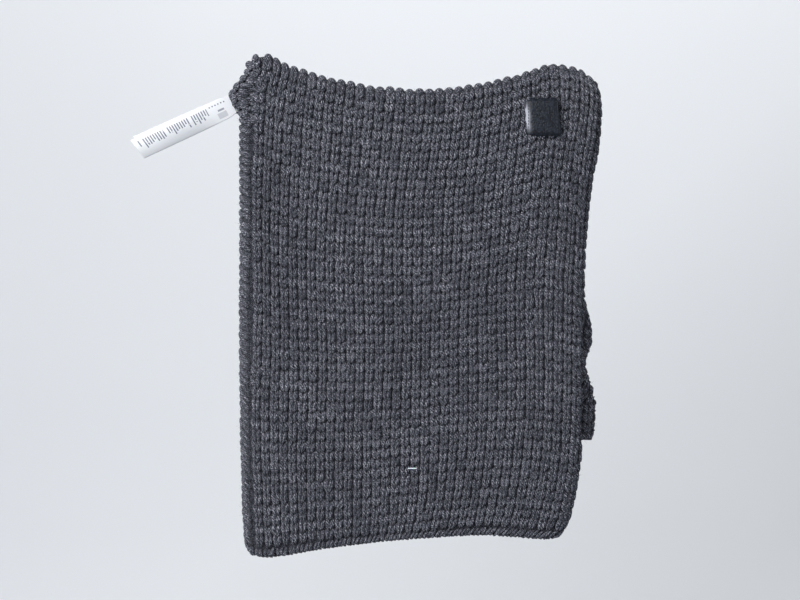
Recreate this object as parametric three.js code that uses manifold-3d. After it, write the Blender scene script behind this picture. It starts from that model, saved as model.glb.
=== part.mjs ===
// A ribbed wool neck gaiter, hung flat by its top edge from two hanger clips.
// Millimetres. +Z is up, +X runs from the side seam to the side fold, and the front faces -Y.
// The origin is midway between the two clip grips, at the middle of the folded tube's depth.
import * as THREE from "three";
import { mergeVertices } from "three/addons/utils/BufferGeometryUtils.js";
import Module from "manifold-3d";

const wasm = await Module();
wasm.setup();

// Driving dimensions of the knitted tube, as it hangs flat.
const tubeWidth = 354; // side seam to side fold
const tubeHeight = 467; // clip level to the middle of the bottom edge
const wall = 6.5; // one layer of the thick ribbed knit
const innerGap = 16; // between the front and back layers
const clipInset = 46; // middle of a clip grip to the seam or the fold
const rimSag = 25; // how far the top edge drops between the clips
const rimRise = 8; // top edge above the clip level, at a clip
const cornerRadius = 14; // the two bottom corners
const hemSlope = 18; // how much lower the hem is at the seam than at the fold

// Driving dimensions of what is sewn on.
const hemHeight = 9; // knitted-on edge band round the bottom
const hemProud = 0.7; // the band stands this far out of the knit on each side
const touchGap = 0.3; // between two pieces that touch
const hemGap = 1.2; // where the band is linked to the tube, measured up the tube
const rows = 22; // level steps from the hem to the rim
const seamThread = 2.4; // linking chain inside the side seam, across
const patchWidth = 36;
const patchHeight = 40;
const patchThickness = 1.4;
const patchCorner = 3;
const patchFromFold = 34; // right edge of the patch to the side fold
const patchBelowClips = 26; // top edge of the patch below the clip level
const patchThread = 0.7;
const stitchInset = 2; // patch edge to the middle of its stitching
const labelLength = 106;
const labelWidth = 24;
const labelTape = 0.5; // one leaf of woven satin tape
const labelDroop = 24.5; // degrees below level
const labelBelowClips = 34; // middle of the label's sewn end
const lobeReach = 7.5; // the seam's top end stands this far out of the tube's side, there
const bartackThread = 1.2;
const pinBar = 9; // length of the tag fastener's cross bar
const pinThickness = 1.3;
const pinStem = 0.8;
const pinHole = 2; // opening that the stem has worked between the stitches
const pinPlay = 5; // free length of the stem behind the front layer
const pinX = -5.5;
const pinAboveHem = 70.5;

const halfDepth = innerGap / 2 + wall;
const frontFace = -halfDepth;
const halfWidth = tubeWidth / 2;
const halfSpacing = halfWidth - clipInset;
const pinZ = pinAboveHem - tubeHeight;
const point = (x, z) => new THREE.Vector2(x, z);

// The label's own directions in the hanging plane: along its length, and across it. It leaves
// the tube square to the seam's top end, which is cut off along the label's width.
const droop = THREE.MathUtils.degToRad(labelDroop);
const along = point(-Math.cos(droop), -Math.sin(droop));
const sideways = point(-Math.sin(droop), Math.cos(droop));
const seamEnd = point(-halfWidth - lobeReach, -labelBelowClips);

// A place beside the sewn end: across the label's width, and out along its length.
function besideLabel(across, out) {
  return seamEnd.clone().addScaledVector(sideways, across).addScaledVector(along, out);
}

// ---- The outline of the hanging tube, seen from the front ----

// Top edge, from the seam corner to the fold: a shoulder outside each clip, a sag between them.
function rimPoints() {
  const points = [
    point(-halfWidth + 4, 14),
    point(-halfWidth + 15, 18),
    point(-halfWidth + 30, 17),
  ];
  for (let i = -4; i <= 4; i++) {
    const share = i / 4;
    points.push(point(share * halfSpacing, rimRise - rimSag * (1 - share * share)));
  }
  points.push(point(halfWidth - 27, 6), point(halfWidth - 13, 2), point(halfWidth + 1, -10));
  return points;
}

// Seam side, from the hem up. The seam's top end stands out as a small lobe below the rim.
function seamPoints() {
  return [
    point(-halfWidth + 0.7 * cornerRadius, -tubeHeight - hemSlope + 0.6 * cornerRadius),
    point(-halfWidth + 5, -tubeHeight),
    point(-halfWidth + 2, -0.88 * tubeHeight),
    point(-halfWidth, -0.6 * tubeHeight),
    point(-halfWidth, -0.3 * tubeHeight),
    point(-halfWidth - 1.5, -labelBelowClips - 1.7 * labelWidth),
    besideLabel(-labelWidth / 2 - 1, 0),
    besideLabel(0, 0),
    besideLabel(labelWidth / 2 + 1, 0),
    point(-halfWidth - 4, -labelBelowClips + labelWidth + 2),
    point(-halfWidth + 3, 0),
    point(-halfWidth + 4, 14),
  ];
}

// Fold side, from the hem up: it draws in to the bottom corner, and is widest near the rim.
function foldPoints() {
  return [
    point(halfWidth - 36, -tubeHeight + 0.25 * cornerRadius),
    point(halfWidth - 25, -0.945 * tubeHeight),
    point(halfWidth - 16, -0.83 * tubeHeight),
    point(halfWidth - 11, -0.64 * tubeHeight),
    point(halfWidth - 12, -0.44 * tubeHeight),
    point(halfWidth - 7, -0.28 * tubeHeight),
    point(halfWidth + 2, -75),
    point(halfWidth + 5, -35),
    point(halfWidth + 1, -10),
  ];
}

// Bottom edge, from the seam corner to the fold corner.
function hemPoints() {
  const seamCorner = seamPoints()[0];
  const foldCorner = foldPoints()[0];
  const low = -tubeHeight - hemSlope;
  return [
    seamCorner,
    point(seamCorner.x + 8, low),
    point(-0.78 * halfWidth, low + 0.5),
    point(-0.5 * halfWidth, -tubeHeight - 0.5 * hemSlope),
    point(-0.1 * halfWidth, -tubeHeight - 1),
    point(0.35 * halfWidth, -tubeHeight + 3.5),
    point(foldCorner.x - cornerRadius, -tubeHeight),
    foldCorner,
  ];
}

const rim = new THREE.SplineCurve(rimPoints());
const hem = new THREE.SplineCurve(hemPoints());
const seamSide = new THREE.SplineCurve(seamPoints());
const foldSide = new THREE.SplineCurve(foldPoints());

// The back layer is slack at the fold side and stands out past the front in two soft folds.
const slackFolds = [
  { below: 0.56 * tubeHeight, half: 26, reach: 8 },
  { below: 0.735 * tubeHeight, half: 36, reach: 15 },
];

function slackReach(z) {
  return slackFolds.reduce((sum, fold) => {
    const off = Math.min(1, Math.abs(z + fold.below) / fold.half);
    return sum + fold.reach * Math.cos((off * Math.PI) / 2);
  }, 0);
}

// Maps a place on the flat panel (a across from seam to fold, t up from hem to rim) to the hang.
// back is 0 on the front layer and 1 on the back layer.
function hang(a, t, back) {
  const across = THREE.MathUtils.clamp(a, 0, 1);
  const up = THREE.MathUtils.clamp(t, 0, 1);
  const left = seamSide.getPointAt(up);
  const right = foldSide.getPointAt(up);
  const low = hem.getPointAt(across);
  const high = rim.getPointAt(across);
  const blend = (key) =>
    (1 - across) * left[key] +
    across * right[key] +
    (1 - up) * (low[key] - (1 - across) * hem.points[0][key] - across * hem.points.at(-1)[key]) +
    up * (high[key] - (1 - across) * rim.points[0][key] - across * rim.points.at(-1)[key]);
  const x = blend("x");
  const z = blend("y");
  return point(x + back * THREE.MathUtils.smoothstep(across, 0.86, 1) * slackReach(z), z);
}

// Moves every vertex of a geometry by a function of its place.
function deform(geometry, place) {
  const position = geometry.getAttribute("position");
  for (let i = 0; i < position.count; i++) {
    const p = place(position.getX(i), position.getY(i), position.getZ(i));
    position.setXYZ(i, p[0], p[1], p[2]);
  }
  geometry.computeVertexNormals();
  return geometry;
}

// Hangs a geometry that is laid out flat: x from the seam edge, y in depth, z up from the hem.
function hangFlat(geometry) {
  return deform(geometry, (x, y, z) => {
    const back = THREE.MathUtils.smoothstep(y, -halfDepth, 0);
    const p = hang(x / tubeWidth, z / tubeHeight, back);
    return [p.x, y, p.y];
  });
}

// Lengths round the middle of the panel's thickness, from one linked edge to the other: half the
// seam bend, the front layer, the fold, the back layer and the other half of the seam bend.
const bendRadius = (innerGap + wall) / 2;
const bend = Math.PI * bendRadius;
const flatRun = tubeWidth - 2 * halfDepth;
const flatCount = Math.round(flatRun / 23);

function stationsRound() {
  const stations = [];
  const stretch = (from, length, count, ease) => {
    for (let i = 0; i < count; i++) stations.push(from + length * ease(i / count));
  };
  const even = (share) => share;
  const closeAtEnds = (share) => (1 - Math.cos(Math.PI * share)) / 2;
  stretch(touchGap / 2, bend / 2 - touchGap / 2, 4, even);
  stretch(bend / 2, flatRun, flatCount, closeAtEnds);
  stretch(bend / 2 + flatRun, bend, 10, even);
  stretch(1.5 * bend + flatRun, flatRun, flatCount, closeAtEnds);
  stretch(1.5 * bend + 2 * flatRun, bend / 2 - touchGap / 2, 4, even);
  stations.push(2 * bend + 2 * flatRun - touchGap / 2);
  return stations;
}

// The place in plan of a point that far round the panel, and off its middle towards the outside.
function roundPlan(length, off) {
  const radius = bendRadius + off;
  const turn = (start) => (length - start) / bendRadius;
  const seamX = halfDepth;
  const foldX = tubeWidth - halfDepth;
  const frontEnd = bend / 2 + flatRun;
  const backStart = frontEnd + bend;
  if (length < bend / 2) {
    return [seamX - radius * Math.cos(turn(0)), -radius * Math.sin(turn(0))];
  }
  if (length <= frontEnd) return [seamX + length - bend / 2, -radius];
  if (length < backStart) {
    return [foldX + radius * Math.sin(turn(frontEnd)), -radius * Math.cos(turn(frontEnd))];
  }
  if (length <= backStart + flatRun) return [foldX - (length - backStart), radius];
  const last = turn(backStart + flatRun);
  return [seamX - radius * Math.sin(last), radius * Math.cos(last)];
}

// A strip of knit that is wrapped once round, from one height above the hem to another.
function wrapped(from, to, thickness, steps) {
  const stations = stationsRound();
  const count = stations.length - 1;
  const strip = new THREE.BoxGeometry(count, thickness, to - from, count, 1, steps);
  strip.translate(count / 2, 0, (from + to) / 2);
  const ring = deform(strip, (x, y, z) => [...roundPlan(stations[Math.round(x)], -y), z]);
  return hangFlat(ring);
}

function roundedRectangle(width, height, radius) {
  const x = width / 2 - radius;
  const z = height / 2 - radius;
  const shape = new THREE.Shape();
  shape.absarc(x, z, radius, 0, Math.PI / 2);
  shape.absarc(-x, z, radius, Math.PI / 2, Math.PI);
  shape.absarc(-x, -z, radius, Math.PI, 1.5 * Math.PI);
  shape.absarc(x, -z, radius, 1.5 * Math.PI, 2 * Math.PI);
  return shape;
}

// ---- Closed solids, joined and cut ----

function toSolid(geometry) {
  const bare = geometry.clone();
  bare.deleteAttribute("normal");
  bare.deleteAttribute("uv");
  const merged = mergeVertices(bare, 1e-4);
  const vertProperties = new Float32Array(merged.attributes.position.array);
  const triVerts = new Uint32Array(merged.index.array);
  return new wasm.Manifold(new wasm.Mesh({ numProp: 3, vertProperties, triVerts }));
}

function toGeometry(solid) {
  const mesh = solid.getMesh();
  const geometry = new THREE.BufferGeometry();
  geometry.setAttribute("position", new THREE.BufferAttribute(mesh.vertProperties, 3));
  geometry.setIndex(new THREE.BufferAttribute(mesh.triVerts, 1));
  const flat = geometry.toNonIndexed();
  flat.computeVertexNormals();
  return flat;
}

// ---- Materials ----

const wool = new THREE.MeshStandardMaterial({ color: 0x4a4c54, roughness: 0.95, metalness: 0 });
const chainYarn = new THREE.MeshStandardMaterial({ color: 0x3a3c43, roughness: 0.9, metalness: 0 });
const leather = new THREE.MeshStandardMaterial({ color: 0x1d2126, roughness: 0.45, metalness: 0 });
const sewingThread = new THREE.MeshStandardMaterial({ color: 0x2a2d33, roughness: 0.6, metalness: 0 });
const satin = new THREE.MeshStandardMaterial({ color: 0xe6e8ec, roughness: 0.4, metalness: 0 });
const clearPlastic = new THREE.MeshStandardMaterial({ color: 0xe9ebee, roughness: 0.35, metalness: 0 });

// ---- The pieces ----

const gaiter = new THREE.Group();

function add(name, geometry, material) {
  const mesh = new THREE.Mesh(geometry, material);
  mesh.name = name;
  gaiter.add(mesh);
  return mesh;
}

// One ribbed panel wrapped into a tube. The tag fastener's stem has opened a hole in its front.
function knitTube() {
  const tube = wrapped(hemHeight + hemGap, tubeHeight, wall, rows);
  const hole = new THREE.BoxGeometry(pinHole, wall + 2, pinHole);
  hole.translate(pinX, frontFace + wall / 2, pinZ);
  return toGeometry(toSolid(tube).subtract(toSolid(hole)));
}

// The firm edge band that is linked on round the bottom of the tube.
function hemBand() {
  return wrapped(0, hemHeight, wall, 1).scale(1, 1 + hemProud / halfDepth, 1);
}

// The chain of yarn that links the panel's two side edges, inside the seam from hem to rim.
function seamChain() {
  const section = new THREE.Shape();
  section.absarc(wall + touchGap + seamThread / 2, 0, seamThread / 2, 0, 2 * Math.PI);
  const from = hemHeight + hemGap;
  const chain = new THREE.ExtrudeGeometry(section, {
    depth: tubeHeight - from,
    steps: rows,
    bevelEnabled: false,
    curveSegments: 8,
  });
  return hangFlat(chain.translate(0, 0, from));
}

const patchX = halfWidth - patchFromFold - patchWidth / 2;
const patchZ = -patchBelowClips - patchHeight / 2;
const patchBack = frontFace - touchGap;

// Stands a flat outline up on the front layer, its back at the given depth.
function standUp(geometry, back) {
  return geometry.rotateX(Math.PI / 2).translate(patchX, back, patchZ);
}

// A square of leather with a bevelled edge, sewn on below the clip near the fold.
function leatherPatch() {
  const bevel = 0.3;
  const shape = roundedRectangle(patchWidth - 2 * bevel, patchHeight - 2 * bevel, patchCorner - bevel);
  const plate = new THREE.ExtrudeGeometry(shape, {
    depth: patchThickness - 2 * bevel,
    bevelThickness: bevel,
    bevelSize: bevel,
    bevelSegments: 1,
    curveSegments: 4,
  });
  return standUp(plate.translate(0, 0, bevel), patchBack);
}

// The line of stitching that runs round the patch, just proud of its face.
function patchStitching() {
  const outer = stitchInset - patchThread / 2;
  const inner = stitchInset + patchThread / 2;
  const line = (inset) =>
    roundedRectangle(patchWidth - 2 * inset, patchHeight - 2 * inset, patchCorner - 0.5);
  const shape = line(outer);
  shape.holes.push(new THREE.Path(line(inner).getPoints(4).reverse()));
  const depth = patchThread;
  const thread = new THREE.ExtrudeGeometry(shape, { depth, bevelEnabled: false, curveSegments: 4 });
  return standUp(thread, patchBack - patchThickness - touchGap);
}

// Takes a place across the label, a height off its face and a length along it to the hang. The
// length counts from the seam's end, past the room that its rounded rows need.
const rowRoom = 1.2;

function onLabel(across, off, length) {
  const p = besideLabel(across, rowRoom + length);
  return [p.x, off, p.y];
}

// The bar of close stitches that holds the label's end in the seam.
function labelBartack() {
  const section = new THREE.Shape();
  section.absarc(0, 0, bartackThread / 2, 0, 2 * Math.PI);
  const bar = new THREE.ExtrudeGeometry(section, {
    depth: labelWidth - 4,
    bevelEnabled: false,
    curveSegments: 8,
  });
  bar.translate(0, 0, 2 - labelWidth / 2);
  return deform(bar, (x, y, z) => onLabel(z, y, touchGap + bartackThread / 2 - x));
}

// One leaf of the folded label: a tape that curls a little across its width and bows towards
// the front along its length.
function labelLeaf(start, length, shift, off, lift) {
  const curl = 2.2;
  const half = labelWidth / 2;
  const steps = 8;
  const bow = (v) => curl * (1 - (v / half) ** 2);
  const outline = [];
  for (let i = 0; i <= steps; i++) {
    const v = -half + (labelWidth * i) / steps;
    outline.push(point(v, -bow(v) - labelTape / 2));
  }
  for (let i = steps; i >= 0; i--) {
    const v = -half + (labelWidth * i) / steps;
    outline.push(point(v, -bow(v) + labelTape / 2));
  }
  const leaf = new THREE.ExtrudeGeometry(new THREE.Shape(outline), {
    depth: length,
    steps: 12,
    bevelEnabled: false,
  });
  return deform(leaf, (x, y, z) => {
    const share = z / length;
    const opened = THREE.MathUtils.smoothstep(share, 0, 0.5);
    return onLabel(x + shift * share, off + y * opened + lift * share * share, start + z);
  });
}

// The plastic tag fastener: a cross bar on the front, a thin stem through the knit, and a flat
// foot inside, which leaves the stem some play.
function tagFastener() {
  const barY = frontFace - touchGap - pinThickness / 2;
  const footThickness = 1;
  const footY = frontFace + wall + pinPlay + footThickness / 2;
  const bar = new THREE.CapsuleGeometry(pinThickness / 2, pinBar - pinThickness, 3, 8);
  bar.rotateZ(Math.PI / 2).translate(0, barY, 0);
  const stem = new THREE.CylinderGeometry(pinStem / 2, pinStem / 2, footY - barY, 8);
  stem.translate(0, (footY + barY) / 2, 0);
  const foot = new THREE.BoxGeometry(5, footThickness, 4);
  foot.translate(0, footY, 0);
  const pin = toSolid(bar).add(toSolid(stem)).add(toSolid(foot));
  return toGeometry(pin).translate(pinX, 0, pinZ);
}

add("knit_tube", knitTube(), wool);
add("hem_band", hemBand(), wool);
add("side_seam_chain", seamChain(), chainYarn);
add("leather_patch", leatherPatch(), leather);
add("patch_stitching", patchStitching(), sewingThread);
add("label_bartack", labelBartack(), sewingThread);
const leafStart = 2 * touchGap + bartackThread;
add("care_label_front_leaf", labelLeaf(leafStart, labelLength, 0, -0.5, -5), satin);
add("care_label_back_leaf", labelLeaf(leafStart, labelLength - 5, 3, 0.5, 1.5), satin);
add("tag_fastener", tagFastener(), clearPlastic);

export default gaiter;
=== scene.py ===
# A ribbed wool neck gaiter, hung flat by its top edge as in a shop, with a leather patch, a
# folded satin care label in the seam and a plastic tag fastener. Metres; the front faces -Y.
import math

import bpy
import numpy as np
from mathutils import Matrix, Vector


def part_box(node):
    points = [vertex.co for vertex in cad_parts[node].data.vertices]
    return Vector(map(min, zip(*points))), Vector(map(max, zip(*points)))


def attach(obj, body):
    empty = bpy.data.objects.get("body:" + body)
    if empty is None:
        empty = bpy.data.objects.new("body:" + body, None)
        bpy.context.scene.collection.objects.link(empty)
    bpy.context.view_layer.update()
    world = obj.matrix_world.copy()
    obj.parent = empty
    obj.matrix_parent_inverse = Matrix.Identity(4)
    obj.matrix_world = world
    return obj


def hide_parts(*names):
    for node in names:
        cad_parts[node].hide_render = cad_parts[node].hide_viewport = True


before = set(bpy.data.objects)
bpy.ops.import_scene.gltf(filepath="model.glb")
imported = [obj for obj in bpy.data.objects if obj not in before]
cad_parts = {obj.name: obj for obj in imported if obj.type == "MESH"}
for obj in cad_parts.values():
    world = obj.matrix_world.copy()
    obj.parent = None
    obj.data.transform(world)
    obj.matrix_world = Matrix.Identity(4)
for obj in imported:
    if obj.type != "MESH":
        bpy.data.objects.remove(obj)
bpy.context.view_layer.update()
scene = bpy.context.scene


# ---- Camera, backdrop and lights ----
# A long lens square on to the front. A pale paper sweep hangs behind and runs out into the
# floor, lit by one large soft lamp from the upper left and a weaker one from the right.
def make_camera():
    bpy.ops.object.camera_add(
        location=(-0.018, -1.905, -0.228), rotation=(math.pi / 2, 0, 0)
    )
    camera = bpy.context.object
    camera.name = "studio_camera"
    camera.data.lens = 85
    camera.data.sensor_width = 36
    camera.data.clip_start = 0.05
    scene.camera = camera


make_camera()


def select_only(*objects):
    bpy.ops.object.select_all(action="DESELECT")
    for one in objects:
        one.select_set(True)
    if objects:
        bpy.context.view_layer.objects.active = objects[0]


def add_grid(name, across, along):
    """A flat sheet a metre square, ready to be shaped."""
    select_only()
    bpy.ops.mesh.primitive_grid_add(x_subdivisions=across, y_subdivisions=along, size=1)
    sheet = bpy.context.object
    sheet.name = name
    return sheet


def positions(piece):
    co = np.empty(len(piece.data.vertices) * 3)
    piece.data.vertices.foreach_get("co", co)
    return co.reshape(-1, 3)


def set_positions(piece, co):
    piece.data.vertices.foreach_set("co", np.asarray(co, float).ravel())
    piece.data.update()


def new_material(name):
    material = bpy.data.materials.new(name)
    material.use_nodes = True
    return material.node_tree, material.node_tree.nodes["Principled BSDF"]


def set_inputs(node, values):
    for socket, value in values.items():
        node.inputs[socket].default_value = value


def own_place(tree):
    """The place on the piece itself, which a pattern reads."""
    return tree.nodes.new("ShaderNodeTexCoord").outputs["Object"]


def noise(tree, place, scale, detail=2.0, rough=0.5):
    made = tree.nodes.new("ShaderNodeTexNoise")
    set_inputs(made, {"Scale": scale, "Detail": detail, "Roughness": rough})
    tree.links.new(place, made.inputs["Vector"])
    return made.outputs["Fac"]


def ramp(tree, value, *stops):
    """A colour that runs from stop to stop, each a level of the value and its colour."""
    made = tree.nodes.new("ShaderNodeValToRGB")
    while len(made.color_ramp.elements) < len(stops):
        made.color_ramp.elements.new(0.5)
    for element, (at, colour) in zip(made.color_ramp.elements, stops):
        element.position = at
        element.color = (*colour, 1)
    tree.links.new(value, made.inputs["Fac"])
    return made.outputs["Color"]


def maths_in(tree):
    """A maker of sums for one material; each term is a number or another node's output."""

    def maths(operation, first, second=0.0):
        made = tree.nodes.new("ShaderNodeMath")
        made.operation = operation
        for socket, value in zip(made.inputs, (first, second)):
            if isinstance(value, (int, float)):
                socket.default_value = value
            else:
                tree.links.new(value, socket)
        return made.outputs[0]

    return maths


def paper_material():
    """Matt paper with painted shade that darkens it down and to the right, away from the lamps, and
    a little painted glow that shows only to the camera.
    """
    tree, surface = new_material("pale_paper")
    nodes, links = tree.nodes, tree.links
    place = own_place(tree)
    tint = ramp(
        tree, noise(tree, place, 0.7), (0, (0.672, 0.692, 0.725)), (1, (0.726, 0.748, 0.775))
    )
    # Painted shade: the colour is scaled down towards the bottom right, where the lamps' light
    # falls off.
    spread = nodes.new("ShaderNodeVectorMath")
    spread.operation = "DOT_PRODUCT"
    spread.inputs[1].default_value = (0.5, 0, -0.6)
    painted_falloff = nodes.new("ShaderNodeMapRange")
    set_inputs(painted_falloff, {"From Min": 0.3, "From Max": 1.0, "To Min": 1.0, "To Max": 0.84})
    shaded = nodes.new("ShaderNodeVectorMath")
    shaded.operation = "SCALE"
    links.new(place, spread.inputs[0])
    links.new(spread.outputs["Value"], painted_falloff.inputs["Value"])
    links.new(tint, shaded.inputs[0])
    links.new(painted_falloff.outputs["Result"], shaded.inputs["Scale"])
    links.new(shaded.outputs["Vector"], surface.inputs["Base Color"])
    # Painted glow: the paper also emits its own colour, to camera rays only.
    links.new(shaded.outputs["Vector"], surface.inputs["Emission Color"])
    seen = nodes.new("ShaderNodeLightPath").outputs["Is Camera Ray"]
    links.new(maths_in(tree)("MULTIPLY", seen, 0.26), surface.inputs["Emission Strength"])
    set_inputs(surface, {"Roughness": 0.95, "Specular IOR Level": 0.1})
    return bpy.data.materials["pale_paper"]


def make_backdrop():
    wide, long, flat = 22, 17, 9.0
    wall_y, floor_z, sweep = 3.0, -1.5, 0.9
    paper = add_grid("paper_sweep", 8, 60)
    co = positions(paper)
    across, run = co[:, 0] * wide, (co[:, 1] + 0.5) * long
    turn = sweep * math.pi / 2
    angle = np.clip((run - flat) / sweep, 0, math.pi / 2)
    y = wall_y - sweep - flat + np.minimum(run, flat) + sweep * np.sin(angle)
    z = floor_z + sweep * (1 - np.cos(angle)) + np.clip(run - flat - turn, 0, None)
    set_positions(paper, np.stack([across, y, z], 1))
    bpy.ops.object.shade_smooth()
    paper.data.materials.append(paper_material())


make_backdrop()


def add_lamp(name, place, aim, width, height, power, colour):
    bpy.ops.object.light_add(type="AREA", location=place)
    lamp = bpy.context.object
    lamp.name = name
    lamp.data.shape = "RECTANGLE"
    lamp.data.size, lamp.data.size_y = width, height
    lamp.data.energy = power
    lamp.data.color = colour
    toward = Vector(aim) - Vector(place)
    lamp.rotation_euler = toward.to_track_quat("-Z", "Y").to_euler()


add_lamp("key_softbox", (-1.5, -1.5, 1.5), (0, 0, -0.2), 1.2, 1.2, 64, (1, 0.985, 0.96))
add_lamp("side_strip", (-1.7, -1.3, -0.1), (0, 0, -0.2), 0.35, 1.6, 13, (0.97, 0.98, 1))
add_lamp("fill_softbox", (1.9, -1.6, 0.0), (0, 0, -0.25), 1.6, 1.6, 7, (0.93, 0.96, 1))
add_lamp("paper_wash", (0.3, 1.4, 2.3), (0.3, 3.0, 0.5), 1.4, 0.8, 34, (1, 1, 0.99))


def make_air():
    """Soft light from all round; where no paper is behind the object the air shows pale too."""
    world = bpy.data.worlds.new("studio_air")
    world.use_nodes = True
    nodes, links = world.node_tree.nodes, world.node_tree.links
    air = nodes["Background"]
    air.inputs["Color"].default_value = (0.94, 0.96, 1, 1)
    seen = nodes.new("ShaderNodeLightPath")
    strength = nodes.new("ShaderNodeMapRange")
    set_inputs(strength, {"To Min": 0.34, "To Max": 0.66})
    links.new(seen.outputs["Is Camera Ray"], strength.inputs["Value"])
    links.new(strength.outputs["Result"], air.inputs["Strength"])
    scene.world = world


make_air()
scene.view_settings.view_transform = "Standard"


# ---- Knitted ground ----
# The tube is one chunky ribbed panel of charcoal melange wool, linked into a ring up the side.
# Its loops stand on both faces of a thin ground of the same yarn, which shows in the grooves.
LENGTH_ROUND = 0.7207  # once round the middle of the wall
PANEL = 0.354  # across, as it hangs flat
TALL = 0.467
WALL = 0.0065  # the knit's full thickness
CLIP = 0.131  # where each hanger clip grips the rim, to either side of the middle
MID_RADIUS = 0.01125  # bend of the middle of the wall at the seam and the fold
HALF_BEND = math.pi * MID_RADIUS / 2
FLAT_RUN = (LENGTH_ROUND - 4 * HALF_BEND) / 2


def curve_through(points):
    """A smooth line through the points; the result takes a share of its length to a place."""
    p = np.array(points, float)
    p = np.vstack([p[:1], p, p[-1:]])
    t = np.linspace(0, 1, 24, endpoint=False)[:, None]
    spans = []
    for a, b, c, d in zip(p, p[1:], p[2:], p[3:]):
        bend = (2 * a - 5 * b + 4 * c - d) * t**2 + (3 * (b - c) + d - a) * t**3
        spans.append((2 * b + (c - a) * t + bend) / 2)
    line = np.vstack([*spans, p[-1:]])
    far = np.concatenate([[0], np.cumsum(np.hypot(*np.diff(line, axis=0).T))])
    return lambda share: np.stack(
        [np.interp(np.clip(share, 0, 1) * far[-1], far, line[:, k]) for k in (0, 1)], -1
    )


sag = [(x, 0.008 - 0.025 * (1 - (x / CLIP) ** 2)) for x in np.linspace(-CLIP, CLIP, 9)]
rim_line = curve_through(
    [(-0.1676, 0.014), (-0.159, 0.0175), (-0.147, 0.0175), *sag]
    + [(0.150, 0.006), (0.164, 0.002), (0.178, -0.010)]
)
seam_line = curve_through(
    [(-0.1672, -0.4766), (-0.172, -0.467), (-0.175, -0.411), (-0.177, -0.280)]
    + [(-0.177, -0.140), (-0.1772, -0.070), (-0.1762, -0.040), (-0.1727, -0.011)]
    + [(-0.1690, 0.004), (-0.1676, 0.014)]
)
fold_line = curve_through(
    [(0.141, -0.4635), (0.152, -0.4413), (0.161, -0.3876), (0.166, -0.2989)]
    + [(0.165, -0.2055), (0.170, -0.1308), (0.179, -0.075), (0.182, -0.035), (0.178, -0.010)]
)
hem_line = curve_through(
    [(-0.1672, -0.4766), (-0.1592, -0.485), (-0.138, -0.4845), (-0.0885, -0.476)]
    + [(-0.0177, -0.468), (0.062, -0.4635), (0.127, -0.467), (0.141, -0.4635)]
)


def smoothstep(x, low, high):
    t = np.clip((x - low) / (high - low), 0, 1)
    return t * t * (3 - 2 * t)


def hang(a, t):
    """Stretches the flat panel between its four edges; a runs across and t up, both 0 to 1."""
    left, right, low, high = seam_line(t), fold_line(t), hem_line(a), rim_line(a)
    a, t = a[..., None], t[..., None]
    low = low - (1 - a) * hem_line(0) - a * hem_line(1)
    high = high - (1 - a) * rim_line(0) - a * rim_line(1)
    return (1 - a) * left + a * right + (1 - t) * low + t * high


def lobe_pull(x, z):
    """The seam's top end stands out sideways as a small lobe, cut off along the label."""
    heights = [-0.09, -0.048, -0.035, -0.027, -0.020, -0.016, -0.010, -0.004, 0.004]
    pull = np.interp(z, heights, [0, 0.0004, 0.0030, 0.0085, 0.0110, 0.0092, 0.0042, 0.0008, 0])
    return pull * np.exp(-((x / 0.017) ** 2))


def slack_reach(z):
    """How far the slack back layer stands out past the front at the fold side."""
    upper = 0.0098 * smoothstep(-z, 0.208, 0.262) * smoothstep(z, -0.297, -0.268)
    lower = 0.0158 * smoothstep(z, -0.3725, -0.3665) * smoothstep(-z, 0.285, 0.333)
    lower = lower - 0.0028 * np.exp(-(((z + 0.3245) / 0.0035) ** 2))
    return upper + lower


def wall_middle(s, v):
    """The middle of the knitted wall, s round the tube from the seam and v up from the hem."""
    turn_a = s / MID_RADIUS
    turn_b = (s - HALF_BEND - FLAT_RUN) / MID_RADIUS
    turn_c = (s - 3 * HALF_BEND - 2 * FLAT_RUN) / MID_RADIUS
    inset = 0.0145  # from the panel's side to the middle of its turn
    # In turn: out of the seam, the front, round the fold, the back, and into the seam again.
    runs = [
        s < HALF_BEND,
        s < HALF_BEND + FLAT_RUN,
        s <= 3 * HALF_BEND + FLAT_RUN,
        s < 3 * HALF_BEND + 2 * FLAT_RUN,
    ]
    x = np.select(
        runs,
        [
            inset - MID_RADIUS * np.cos(turn_a),
            inset + s - HALF_BEND,
            PANEL - inset + MID_RADIUS * np.sin(turn_b),
            PANEL - inset - (s - 3 * HALF_BEND - FLAT_RUN),
        ],
        inset - MID_RADIUS * np.sin(turn_c),
    )
    y = np.select(
        runs,
        [-MID_RADIUS * np.sin(turn_a), -MID_RADIUS, -MID_RADIUS * np.cos(turn_b), MID_RADIUS],
        MID_RADIUS * np.cos(turn_c),
    )
    across = x - WALL / 2
    place = hang(across / (PANEL - WALL), v / TALL)
    px, pz = place[..., 0], place[..., 1]
    px = px - lobe_pull(across, pz)
    # Round the fold the slack back layer swells out, behind a valley where the front turns in.
    reach = slack_reach(pz) * smoothstep(x, 0.86 * PANEL, PANEL)
    bend = np.clip(turn_b / math.pi, 0, 1)
    valley = 0.95 * np.exp(-(((bend - 0.40) / 0.10) ** 2))
    px = px + reach * (smoothstep(bend, 0.46, 0.70) - valley)
    y = y + 0.22 * reach * np.exp(-(((bend - 0.52) / 0.14) ** 2))
    # Both layers wave softly, and each clip pinches them together.
    side = np.where(y < 0, -1.0, 1.0)
    waves = 0.0016 * np.sin(px * 23 + 0.6 * side) * np.sin(pz * 11 + 1.1)
    waves = waves + 0.0008 * np.sin(px * 61 + pz * 19)
    pinch = sum(
        np.exp(-(((px - clip) / 0.018) ** 2 + ((pz + 0.006) / 0.022) ** 2))
        for clip in (-CLIP, CLIP)
    )
    on_face = np.abs(y) > 0.5 * MID_RADIUS
    y = y + np.minimum(1, np.abs(y) / MID_RADIUS) * waves - side * 0.003 * pinch * on_face
    return np.stack([px, y, pz], -1)


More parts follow.
